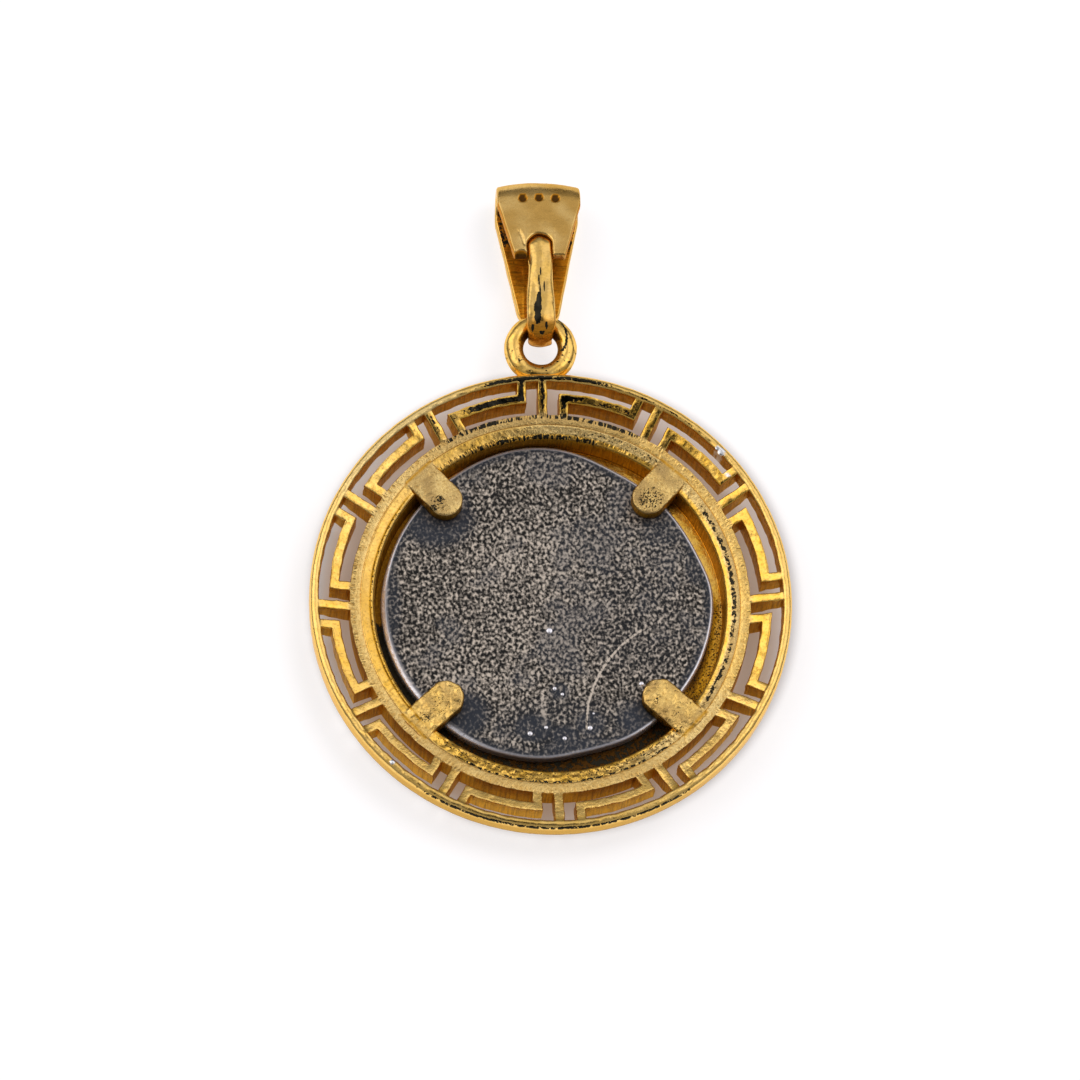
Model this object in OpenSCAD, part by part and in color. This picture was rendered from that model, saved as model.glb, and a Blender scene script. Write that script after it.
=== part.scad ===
// Round pendant lying face down: a pierced key-pattern frame, a loose disc held by four tabs, and a
// folded bail hooked through the eyelet. The origin is on the surface it lies on, below the middle of
// its outline. +Y points to the eyelet, +Z to the back of the pendant.

/* [Rim] */
// Outer diameter of the pendant
rim_d = 28; // [26:0.5:32]
// Width of the plain rim round the key band
rim_w = 0.54; // [0.4:0.02:0.8]
// Height of the rim, along Z
rim_h = 1.4; // [1:0.05:1.6]
// Height of the rim's back edge above the surface it lies on
back_z = 3; // [2.8:0.05:3.4]
// Fall of the back face towards the middle, in degrees
dish_angle = 17.5; // [12:0.5:20]
// Radius of the rim's rounded back edge
rim_round = 0.28; // [0.1:0.02:0.4]

/* [Key band] */
// Number of full bars, and of key sections between them
key_n = 12; // [8:1:14]
// Width of a full bar
bar_w = 0.54; // [0.4:0.02:0.7]
// Width of a key's two legs
leg_w = 0.55; // [0.4:0.02:0.7]
// Open gap between a leg and the full bar beside it
leg_gap = 0.68; // [0.5:0.02:0.8]
// Middle radius of a key's arc
arc_r = 12.57; // [12.4:0.01:12.7]
// Width of a key's arc
arc_w = 0.55; // [0.4:0.02:0.7]
// Height of the key band along Z where it meets the bezel. It tapers to the rim's height.
band_h = 1.95; // [1.4:0.05:2]

/* [Bezel] */
// Outer radius of the solid ring inside the key band
bezel_r = 11.64; // [11.4:0.02:11.8]
// Radius of the fine step between the ring's plain edge and its raised inner strip
step_r = 11.05; // [10.8:0.01:11.2]
// Height of that step
step_h = 0.08; // [0.02:0.01:0.15]
// Radius of the bore at the back
bore_r = 10.21; // [10.15:0.01:10.4]
// Radius of the bore where it meets the ledge
seat_r = 10.09; // [10.06:0.01:10.15]
// Radius of the window in front of the disc
window_r = 8.7; // [8.5:0.05:8.9]
// Thickness of the lip that carries the disc
lip_h = 0.4; // [0.3:0.05:0.6]
// Outer radius of the front wall that the pendant lies on
foot_r = 11.3; // [11:0.05:11.5]

/* [Tabs] */
// Width of a tab
tab_w = 2.05; // [1.6:0.05:2.4]
// Thickness of a tab
tab_h = 0.98; // [0.6:0.02:1]

/* [Eyelet] */
// Distance of the eyelet's middle from the ring's middle
eye_y = 15.7; // [15.6:0.05:16]
// Radius of the eyelet's ring, to the middle of its wire
eye_r = 1.57; // [1.5:0.01:1.7]
// Radius of the eyelet's round wire
eye_wire_r = 0.56; // [0.45:0.01:0.6]
// Depth of the eyelet's middle below the rim's back edge
eye_drop = 0.67; // [0.6:0.01:0.75]

/* [Disc] */
// Radius of the disc
disc_r = 9.6; // [9.5:0.01:9.64]
// Thickness of the disc
disc_h = 0.8; // [0.6:0.05:0.8]
// Where the loose disc lies in the bore, sideways
disc_x = -0.14; // [-0.15:0.01:0.15]
// Where the loose disc lies in the bore, towards the eyelet
disc_y = 0.4; // [0:0.01:0.42]
// Depth of the flatter stretch filed into the disc's edge
cut_depth = 0.45; // [0:0.05:0.6]
// Radius of that stretch
cut_r = 10.4; // [9.8:0.1:14]
// Direction that it faces, in degrees
cut_angle = 54; // [0:1:359]
// Number of the sun's rays on the hidden front
ray_n = 12; // [8:1:14]
// Radius of the sun's round middle
sun_r = 3; // [2:0.1:4]
// Reach of the sun's rays from the disc's middle
ray_reach = 7.9; // [6:0.1:8]
// Height of the sun's relief
relief_h = 0.22; // [0.1:0.02:0.3]

/* [Bail] */
// Distance between the middles of the bail's fold and of its hook
bail_len = 7.3; // [6.8:0.1:8]
// Outer radius of the fold
fold_r = 1.6; // [1.5:0.05:1.8]
// Thickness of the folded strap
strap_h = 0.7; // [0.5:0.05:0.8]
// Width of the strap at the fold
strap_w = 4.88; // [4.4:0.02:5.2]
// Width of the front leaf where it turns into the hook
tip_w = 2; // [1.6:0.05:2.2]
// Width of the back leaf at its free edge
edge_w = 3; // [2.8:0.05:3.4]
// Distance of the back leaf's free edge from the hook's middle
edge_y = 3.55; // [3.4:0.05:4]
// Thickness of the hook's wire
hook_h = 0.6; // [0.5:0.02:0.62]
// Width of the hook's wire
hook_w = 1.34; // [1.1:0.02:1.36]
// Radius of the hook's round end, in the back leaf's notch
dome_r = 0.68; // [0.5:0.01:0.7]
// Distance of that round end's middle from the hook's middle
dome_y = 4.22; // [4:0.01:4.6]
// Fine gap between the round end and the notch
notch_gap = 0.08; // [0.05:0.01:0.15]
// How far the bail is drawn away from the ring along Y
bail_pull = 0.2; // [0.1:0.01:0.22]
// Turn of the loose bail in the eyelet, in degrees
bail_yaw = -1.4; // [-4:0.1:4]

/* [Hidden] */
$fn = 96;
gap = 0.05;
past = 1;

rim_r = rim_d / 2;
band_r = rim_r - rim_w;
rim_chamfer = 0.2;
foot_chamfer = 0.12;
bore_chamfer = 0.1;
tab_lap = 0.1;
tab_rise = 0.04;
sector = 360 / key_n;

// Height of the dished back face at a radius
function back_at(r) = back_z - (band_r - r) * tan(dish_angle);

// One row for each tab: its angle round the ring, and the radius of its round end's middle
TAB_ANGLE = 0;
TAB_END = 1;
tabs = [
    [46.9, 8.81],
    [132.1, 8.77],
    [222.2, 8.42],
    [316.9, 8.42]
];
tab_root_r = step_r + tab_lap;
tab_z = back_at(step_r) + tab_rise;

disc_z = lip_h + gap;
ray_foot_r = sun_r + 0.45;
ray_wide_r = sun_r + 1.3;
ray_w = 1.24;
leaf_lap = 0.2;
fold_lead = 0.3;
hook_r = fold_r - strap_h / 2;
hook_y = eye_y + eye_r + bail_pull;
hook_z = back_z - eye_drop;
bail_tilt = -asin((hook_z - fold_r) / bail_len);

// The outline runs from the rim's near side to the raised corner of the turned bail
fold_y = hook_y + bail_len * cos(bail_tilt) + fold_r;
reach = eye_y + (fold_y - eye_y) * cos(bail_yaw) + strap_w / 2 * sin(abs(bail_yaw));
ring_y = (rim_r - reach) / 2;

// Section through the frame, as radius and height, without its windows
module frame_section() {
    difference() {
        polygon([
            [window_r, foot_chamfer],
            [window_r + foot_chamfer, 0],
            [foot_r - foot_chamfer, 0],
            [foot_r, foot_chamfer],
            [foot_r, back_at(bezel_r) - band_h],
            [bezel_r, back_at(bezel_r) - band_h],
            [band_r, back_z - rim_h],
            [rim_r - rim_chamfer, back_z - rim_h],
            [rim_r, back_z - rim_h + rim_chamfer],
            [rim_r, back_z],
            [band_r, back_z],
            [step_r, back_at(step_r)],
            [step_r - step_h, back_at(step_r - step_h) + step_h],
            [bore_r + bore_chamfer, back_at(bore_r + bore_chamfer) + step_h],
            [bore_r, back_at(bore_r) - bore_chamfer],
            [seat_r, lip_h],
            [window_r, lip_h]
        ]);
        rim_back_corner();
    }
}

// What is cut off the rim's back edge to round it
module rim_back_corner() {
    translate([rim_r - rim_round, back_z - rim_round])
    difference() {
        square(rim_round + past);
        circle(rim_round);
    }
}

// Flat ring between two radii
module ring_arc(inner, outer) {
    difference() {
        circle(outer);
        circle(inner);
    }
}

// Area between two straight edges that run beside the spokes at both ends of a sector. Each edge lies
// at a distance from its spoke's middle line.
module between_spokes(from_cw, from_ccw) {
    intersection() {
        translate([0, from_cw]) square(rim_r);
        rotate(sector) mirror([0, 1]) translate([0, from_ccw]) square(rim_r);
    }
}

// The two L-shaped holes of one key section. The section starts at the spoke on the X axis.
module key_holes() {
    bar_edge = bar_w / 2;
    leg_near = bar_edge + leg_gap;
    leg_far = leg_near + leg_w;
    arc_in = arc_r - arc_w / 2;
    arc_out = arc_r + arc_w / 2;
    // Outer slot from the leg at the section's start, with the gap beside the leg at its end
    intersection() {
        ring_arc(arc_out, band_r);
        between_spokes(leg_far, bar_edge);
    }
    intersection() {
        ring_arc(bezel_r, arc_out + gap);
        intersection() {
            between_spokes(leg_far, bar_edge);
            rotate(sector) translate([0, -leg_near]) square([rim_r, leg_near]);
        }
    }
    // Inner slot to the leg at the section's end, with the gap beside the leg at its start
    intersection() {
        ring_arc(bezel_r, arc_in);
        between_spokes(bar_edge, leg_far);
    }
    intersection() {
        ring_arc(arc_in - gap, band_r);
        intersection() {
            between_spokes(bar_edge, leg_far);
            square([rim_r, leg_near]);
        }
    }
}

module tab(row) {
    rotate(row[TAB_ANGLE])
    translate([0, 0, tab_z - tab_h])
    linear_extrude(tab_h) {
        translate([row[TAB_END], 0]) circle(tab_w / 2);
        translate([row[TAB_END], -tab_w / 2]) square([tab_root_r - row[TAB_END], tab_w]);
    }
}

module eyelet() {
    translate([0, eye_y, back_z - eye_drop])
    rotate_extrude()
    translate([eye_r, 0]) circle(eye_wire_r);
}

module frame() {
    color("goldenrod")
    translate([0, ring_y, 0]) {
        difference() {
            rotate_extrude() frame_section();
            translate([0, 0, foot_chamfer])
            linear_extrude(back_z + past)
            for (i = [0 : key_n - 1])
                rotate(90 + i * sector) key_holes();
        }
        for (row = tabs)
            tab(row);
        eyelet();
    }
}

// One ray as a long kite that points along +X
module ray() {
    polygon([
        [ray_foot_r, 0],
        [ray_wide_r, ray_w / 2],
        [ray_reach, 0],
        [ray_wide_r, -ray_w / 2]
    ]);
}

module disc() {
    color("dimgray")
    translate([disc_x, ring_y + disc_y, disc_z]) {
        intersection() {
            cylinder(h = disc_h, r = disc_r);
            rotate(cut_angle)
            translate([disc_r - cut_depth - cut_r, 0])
            cylinder(h = disc_h, r = cut_r);
        }
        translate([0, 0, -relief_h])
        cylinder(h = relief_h + gap, r1 = sun_r - relief_h, r2 = sun_r);
        translate([0, 0, -relief_h])
        linear_extrude(relief_h + gap)
        for (i = [0 : ray_n - 1])
            rotate(i * 360 / ray_n) ray();
    }
}

// Side view of the folded strap, with Y across and Z up, from the hook's middle
module strap_side() {
    difference() {
        union() {
            translate([bail_len, 0]) circle(fold_r);
            translate([-leaf_lap, -fold_r]) square([bail_len + leaf_lap, 2 * fold_r]);
        }
        translate([bail_len, 0]) circle(fold_r - strap_h);
        translate([-past, strap_h - fold_r]) square([bail_len + past, 2 * (fold_r - strap_h)]);
    }
}

// Plan of one leaf, from its narrow end to the fold
module leaf_plan(start_y, start_w) {
    full_y = bail_len - fold_lead;
    end_y = bail_len + fold_r + past;
    polygon([
        [-start_w / 2, start_y],
        [start_w / 2, start_y],
        [strap_w / 2, full_y],
        [strap_w / 2, end_y],
        [-strap_w / 2, end_y],
        [-strap_w / 2, full_y]
    ]);
}

// Plan of the back leaf, with the notch for the hook's round end
module back_leaf_plan() {
    notch_r = dome_r + notch_gap;
    difference() {
        leaf_plan(edge_y, edge_w);
        translate([0, dome_y]) circle(notch_r);
        translate([-notch_r, 0]) square([2 * notch_r, dome_y]);
    }
}

module strap() {
    intersection() {
        rotate([90, 0, 90])
        linear_extrude(strap_w + 2 * past, center = true)
        strap_side();
        union() {
            translate([0, 0, -fold_r - past]) linear_extrude(fold_r + past) leaf_plan(-leaf_lap, tip_w);
            linear_extrude(fold_r + past) back_leaf_plan();
        }
    }
}

// Section of the hook's wire: flat above and below, with round sides
module wire_section(w) {
    for (side = [-1, 1])
        translate([side * (w - hook_h) / 2, 0]) circle(hook_h / 2);
    square([w - hook_h, hook_h], center = true);
}

// The bend runs from the front leaf's tip through the eyelet and back over it
module hook_bend() {
    rotate([180, -90, 0])
    rotate_extrude(angle = 180)
    translate([hook_r, 0])
    rotate(90) wire_section(hook_w);
}

module hook_run() {
    intersection() {
        translate([0, 0, hook_r])
        rotate([-90, 0, 0])
        linear_extrude(dome_y + dome_r)
        wire_section(hook_w);
        linear_extrude(hook_r + past) {
            translate([0, dome_y]) circle(dome_r);
            polygon([
                [-hook_w / 2, 0],
                [hook_w / 2, 0],
                [dome_r, dome_y],
                [-dome_r, dome_y]
            ]);
        }
    }
}

module bail() {
    color("goldenrod")
    translate([0, ring_y + eye_y, 0])
    rotate(bail_yaw)
    translate([0, hook_y - eye_y, hook_z])
    rotate([bail_tilt, 0, 0]) {
        strap();
        hook_bend();
        hook_run();
    }
}

frame();
disc();
bail();
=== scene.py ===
"""Round gilt pendant lying face down, on a pale floor in soft studio light.

Lengths in this script are millimetres, in the pendant's own frame: +Y towards the eyelet, +Z up to the
back of the pendant. Meshes are worked out round the middle of the ring and moved into place at the end.
"""
import math
from collections import namedtuple

import bmesh
import bpy
import numpy as np
from mathutils import Matrix, Vector, noise


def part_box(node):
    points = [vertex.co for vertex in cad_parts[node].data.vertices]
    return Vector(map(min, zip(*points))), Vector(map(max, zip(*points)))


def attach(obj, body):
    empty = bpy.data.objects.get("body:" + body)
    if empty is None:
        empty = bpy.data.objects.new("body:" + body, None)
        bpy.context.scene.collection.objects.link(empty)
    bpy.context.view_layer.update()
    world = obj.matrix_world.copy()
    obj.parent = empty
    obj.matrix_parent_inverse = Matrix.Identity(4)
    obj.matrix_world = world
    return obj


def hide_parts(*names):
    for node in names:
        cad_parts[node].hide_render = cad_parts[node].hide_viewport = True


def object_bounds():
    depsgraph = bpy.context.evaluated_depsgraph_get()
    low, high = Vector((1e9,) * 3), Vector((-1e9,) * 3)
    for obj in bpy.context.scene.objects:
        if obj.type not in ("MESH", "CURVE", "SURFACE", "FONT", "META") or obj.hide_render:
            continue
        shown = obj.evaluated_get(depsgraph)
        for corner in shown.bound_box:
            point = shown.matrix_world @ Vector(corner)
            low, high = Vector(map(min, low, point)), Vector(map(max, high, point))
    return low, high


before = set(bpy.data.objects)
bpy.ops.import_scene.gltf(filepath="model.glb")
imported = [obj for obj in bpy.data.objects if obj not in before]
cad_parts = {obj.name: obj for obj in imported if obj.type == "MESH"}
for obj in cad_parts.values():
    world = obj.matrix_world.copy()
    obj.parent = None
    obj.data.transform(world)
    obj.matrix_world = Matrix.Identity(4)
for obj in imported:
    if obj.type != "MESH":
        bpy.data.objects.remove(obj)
cad_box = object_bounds()

# Blender's noise starts from the clock unless it gets a seed of its own
noise.seed_set(1)

MM = 0.001

# Ring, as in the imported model
RIM_R = 14.0
RING_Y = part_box("frame")[0].y / MM + RIM_R
BACK_Z = 3.0
DISH = math.radians(17.5)
BAND_R = 13.46
RIM_H = 1.4
BAND_H = 1.95
RIM_ROUND = 0.32
RIM_FALL = 0.09
RIM_CREST_R = 13.68
RIM_CHAMFER = 0.2
FOOT_CHAMFER = 0.12

# Key band
SECTORS = 12
SECTOR = 2 * math.pi / SECTORS
FIRST_SPOKE = math.pi / 2
BAR_HALF = 0.27
LEG_NEAR = 0.95
LEG_FAR = 1.5
ARC_OUT = 12.845
ARC_IN = 12.295
BEZEL_R = 11.64
EDGE_ROUND = 0.075

# Bezel, bore and ledge
STEP_R = 11.05
STEP_H = 0.08
STEP_RUN = 0.08
BORE_R = 10.21
BORE_CHAMFER = 0.1
SEAT_R = 10.09
LIP_Z = 0.4
WINDOW_R = 8.7
FOOT_R = 11.3
# Radii between which the bore, the ledge and the disc's edge lie
INSIDE = (8, 10.3)

# Tabs: angle round the ring in degrees, radius of the round end's middle, and how crumpled the face is
TABS = [
    (46.9, 8.81, 0.7),
    (132.1, 8.77, 0.45),
    (222.2, 8.42, 1.5),
    (316.9, 8.42, 1.3),
]
TAB_W = 2.05
TAB_H = 0.98
TAB_ROOT_R = 11.15
TAB_EDGE = 0.13
TAB_CROWN = 0.03

# Eyelet
EYE_Y = 15.7
EYE_R = 1.57
EYE_WIRE_R = 0.56
EYE_Z = BACK_Z - 0.67

# Disc
DISC_Z = 0.45
DISC_H = 0.8
DISC_X = -0.14
DISC_Y = 0.4
DISC_EDGE = 0.14

# Bail
BAIL_LEN = 7.3
MID_R = 1.25
STRAP_H = 0.7
STRAP_HALF = 2.44
TIP_HALF = 1.04
TIP_Y = -0.05
FULL_Y = 7.0
EDGE_HALF = 1.5
EDGE_Y = 3.55
NOTCH_R = 0.76
DOME_R = 0.7
DOME_Y = 4.22
WIRE_H = 0.6
WIRE_POWER = 2.3
THINNEST = 0.02
STRAP_ROUND = 0.12
FOLD_CROWN = 0.32
FOLD_Z = 1.6
BAIL_PULL = 0.2
BAIL_YAW = math.radians(-1.4)
HOOK_Y = EYE_Y + EYE_R + BAIL_PULL
BAIL_TILT = -math.asin((EYE_Z - FOLD_Z) / BAIL_LEN)

# Camera, from circles and bars of known size in the picture
CAMERA_AT = (-40.63, -194.03 + RING_Y, 552.15)
CAMERA_TURN = (19.89, -3.39, -2.19)
CAMERA_LENS = 336.3
SENSOR = 36.0


def rise(x, low, high):
    """0 below low, 1 above high, and smooth between them."""
    t = np.clip((np.asarray(x, float) - low) / (high - low), 0.0, 1.0)
    return t * t * (3 - 2 * t)


def fade(x, low, high):
    """1 below low, 0 above high, and smooth between them."""
    return 1 - rise(x, low, high)


def back_at(r):
    """Height of the dished back face at a radius."""
    return BACK_Z - (BAND_R - r) * math.tan(DISH)


def under_at(r):
    """Height of the key band's front face, which tapers from the bezel to the rim."""
    inner = back_at(BEZEL_R) - BAND_H
    outer = BACK_Z - RIM_H
    return inner + (outer - inner) * (r - BEZEL_R) / (BAND_R - BEZEL_R)


def edge_drop(d, radius):
    """How far a rounded edge lies below its face, at a distance from the edge."""
    inside = np.clip(radius - np.asarray(d, float), 0.0, radius)
    return radius - np.sqrt(radius * radius - inside * inside)


def noise_field(points, scale, seed):
    """Smooth three-way noise at each point."""
    shift = Vector((seed, 2 * seed, 3 * seed))
    return np.array([noise.noise_vector(Vector(p) * scale + shift) for p in points])


def ring_weight(points, from_deg, to_deg, from_r, to_r, soft_deg=5.0, soft_r=0.06):
    """1 inside a stretch of the ring, falling off softly outside it."""
    r, angle = polar(points)
    middle = (from_deg + to_deg) / 2
    half = (to_deg - from_deg) / 2
    off = np.abs((np.degrees(angle) - middle + 180) % 360 - 180)
    along = fade(off, half - soft_deg, half + soft_deg)
    from_inside = rise(r, from_r - soft_r, from_r + soft_r)
    return along * (from_inside * fade(r, to_r - soft_r, to_r + soft_r))


def polar(points):
    """Radius and angle of each point round the ring's middle."""
    return np.hypot(points[:, 0], points[:, 1]), np.arctan2(points[:, 1], points[:, 0])


def turned(x, y, angle):
    """A place turned round the middle by an angle in radians."""
    return x * math.cos(angle) - y * math.sin(angle), x * math.sin(angle) + y * math.cos(angle)


def circle(count):
    """Angles of evenly spaced places round a circle."""
    return [2 * math.pi * i / count for i in range(count)]


def grid_quads(rows, cols, closed_rows=False, closed_cols=False):
    """Faces of a grid whose vertices are numbered row by row."""
    faces = []
    for i in range(rows if closed_rows else rows - 1):
        for j in range(cols if closed_cols else cols - 1):
            i2 = (i + 1) % rows
            j2 = (j + 1) % cols
            faces.append((i * cols + j, i * cols + j2, i2 * cols + j2, i2 * cols + j))
    return faces


def stack_faces(loops, around):
    """Faces of a body of stacked loops, closed at both ends."""
    last = (loops - 1) * around
    ends = [tuple(reversed(range(around))), tuple(range(last, last + around))]
    return grid_quads(loops, around, closed_cols=True) + ends


def round_stack(x, y, loops, around):
    """Body of stacked round loops, each given as (radius, height)."""
    points = [(x + r * math.cos(a), y + r * math.sin(a), z) for r, z in loops for a in circle(around)]
    return np.array(points), stack_faces(len(loops), around)


def wall_up(points, faces, partner, levels):
    """Close the gaps between two matching sheets with walls.

    partner gives each vertex of the first sheet its match in the second one, and levels are the places
    between the two, from 0 to 1, where a wall has more vertices.
    """
    used = {}
    for face in faces:
        for a, b in zip(face, face[1:] + face[:1]):
            used[(a, b)] = used.get((a, b), 0) + 1
    points = list(points)
    posts = {}

    def post(a):
        if a not in posts:
            ids = [a]
            for t in levels:
                ids.append(len(points))
                points.append(points[a] * (1 - t) + points[partner[a]] * t)
            ids.append(partner[a])
            posts[a] = ids
        return posts[a]

    walls = []
    for a, b in used:
        if (b, a) in used or a not in partner or b not in partner:
            continue
        left = post(a)
        right = post(b)
        for k in range(len(levels) + 1):
            walls.append((right[k], left[k], left[k + 1], right[k + 1]))
    return np.array(points), faces + walls


def add_object(name, data):
    """New object in the scene."""
    made = bpy.data.objects.new(name, data)
    bpy.context.scene.collection.objects.link(made)
    return made


def make_mesh(name, points, faces, sharp_deg=50.0):
    """New object from points in millimetres round the ring's middle."""
    placed = np.clip((np.asarray(points) + (0, RING_Y, 0)) * MM, cad_box[0], cad_box[1])
    mesh = bpy.data.meshes.new(name)
    mesh.from_pydata([tuple(p) for p in placed], [], [tuple(f) for f in faces])
    mesh.update()
    tidy_mesh(mesh)
    finish_shading(mesh, sharp_deg)
    return add_object(name, mesh)


def tidy_mesh(mesh):
    """Merge doubled vertices and turn every face outwards."""
    work = bmesh.new()
    work.from_mesh(mesh)
    bmesh.ops.remove_doubles(work, verts=work.verts, dist=1e-7)
    bmesh.ops.dissolve_degenerate(work, edges=work.edges, dist=1e-7)
    bmesh.ops.recalc_face_normals(work, faces=work.faces)
    work.to_mesh(mesh)
    work.free()


def finish_shading(mesh, sharp_deg):
    """Smooth shading, apart from edges sharper than the angle."""
    mesh.shade_smooth()
    mesh.set_sharp_from_angle(angle=math.radians(sharp_deg))


def unite(piece, others, sharp_deg=50.0):
    """Join closed meshes into one, and remove the others."""
    for other in others:
        cut = piece.modifiers.new("join", "BOOLEAN")
        cut.operation = "UNION"
        cut.solver = "MANIFOLD"
        cut.object = other
    graph = bpy.context.evaluated_depsgraph_get()
    mesh = bpy.data.meshes.new_from_object(piece.evaluated_get(graph))
    piece.modifiers.clear()
    piece.data = mesh
    for other in others:
        bpy.data.objects.remove(other, do_unlink=True)
    finish_shading(mesh, sharp_deg)


def vertex_points(piece):
    """Vertices in millimetres round the ring's middle."""
    co = np.empty(len(piece.data.vertices) * 3)
    piece.data.vertices.foreach_get("co", co)
    return co.reshape(-1, 3) / MM - (0, RING_Y, 0)


def set_values(piece, values):
    """Store numbers for each vertex, by name, for the materials to read."""
    for name, numbers in values.items():
        layer = piece.data.attributes.new(name, "FLOAT", "POINT")
        layer.data.foreach_set("value", np.asarray(numbers, dtype=np.float32))


# Frame

def side_offsets():
    """Distances from a spoke's middle line out to the far side of the leg beside it."""
    steps = [1.0, 0.3, 0.0]
    bar = [0.0] + [BAR_HALF - EDGE_ROUND * s for s in steps]
    hole = [BAR_HALF + (LEG_NEAR - BAR_HALF) * t for t in (0.25, 0.5, 0.75)]
    near = [LEG_NEAR + EDGE_ROUND * s for s in reversed(steps)]
    middle = [LEG_NEAR + (LEG_FAR - LEG_NEAR) * t for t in (0.37, 0.63)]
    far = [LEG_FAR - EDGE_ROUND * s for s in steps]
    return bar + hole + near + middle + far


SIDE = side_offsets()
WALL_LEVELS = (0.04, 0.2, 0.4, 0.6, 0.8)
MIDDLE_CELLS = 34
BAR_CELLS = 3
HOLE_CELLS = 4
LEG_CELLS = len(SIDE) - 1 - BAR_CELLS - HOLE_CELLS


def band_rows():
    """Radii of the key band's rows, from the rim in to the bezel, with the zone of each cell."""
    outer = [BAND_R - (BAND_R - ARC_OUT) * t for t in (0, 0.25, 0.5, 0.75)]
    steps = [0.0, 0.3, 1.0]
    arc = [ARC_OUT - EDGE_ROUND * s for s in steps]
    arc += [ARC_IN + (ARC_OUT - ARC_IN) * t for t in (0.7, 0.5, 0.3)]
    arc += [ARC_IN + EDGE_ROUND * s for s in reversed(steps)]
    inner = [ARC_IN - (ARC_IN - BEZEL_R) * t for t in (0.25, 0.5, 0.75, 1)]
    zones = ["outer"] * 4 + ["arc"] * (len(arc) - 1) + ["inner"] * 4
    return outer + arc + inner, zones


def column_kinds():
    """What each cell of a sector is, from one spoke round to the next."""
    start = ["bar"] * BAR_CELLS + ["hole"] * HOLE_CELLS + ["start leg"] * LEG_CELLS
    end = ["end leg"] * LEG_CELLS + ["hole"] * HOLE_CELLS + ["bar"] * BAR_CELLS
    return start + ["middle"] * MIDDLE_CELLS + end


OPEN_CELLS = {
    "bar": (),
    "hole": ("outer", "arc", "inner"),
    "start leg": ("inner",),
    "middle": ("outer", "inner"),
    "end leg": ("outer",),
}


def column_angles(r):
    """Angles of one sector's columns at a radius. Columns beside a spoke run parallel to it."""
    r = min(max(r, BEZEL_R), BAND_R)
    start = [math.asin(d / r) for d in SIDE]
    end = [SECTOR - a for a in reversed(start)]
    inner = np.linspace(start[-1], end[0], MIDDLE_CELLS + 1)[1:-1]
    return np.array(start + list(inner) + end[:-1])


def hole_distance(r, along):
    """Distance from a point of a sector to the nearest hole. along is the angle from its first spoke."""
    from_start = r * math.sin(along)
    from_end = r * math.sin(SECTOR - along)
    holes = (
        (BEZEL_R, ARC_IN, max(BAR_HALF - from_start, LEG_FAR - from_end)),
        (BEZEL_R, BAND_R, max(BAR_HALF - from_start, from_start - LEG_NEAR)),
        (ARC_OUT, BAND_R, max(LEG_FAR - from_start, BAR_HALF - from_end)),
        (BEZEL_R, BAND_R, max(BAR_HALF - from_end, from_end - LEG_NEAR)),
    )
    best = RIM_R
    for low, high, aside in holes:
        across = max(low - r, r - high, 0.0)
        best = min(best, math.hypot(across, max(aside, 0.0)))
    return best


def rim_top(r):
    """Height of the rim's back face, which falls in to the key band."""
    if r >= RIM_CREST_R:
        return BACK_Z
    return BACK_Z - RIM_FALL * ((RIM_CREST_R - r) / (RIM_CREST_R - BAND_R)) ** 2


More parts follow.
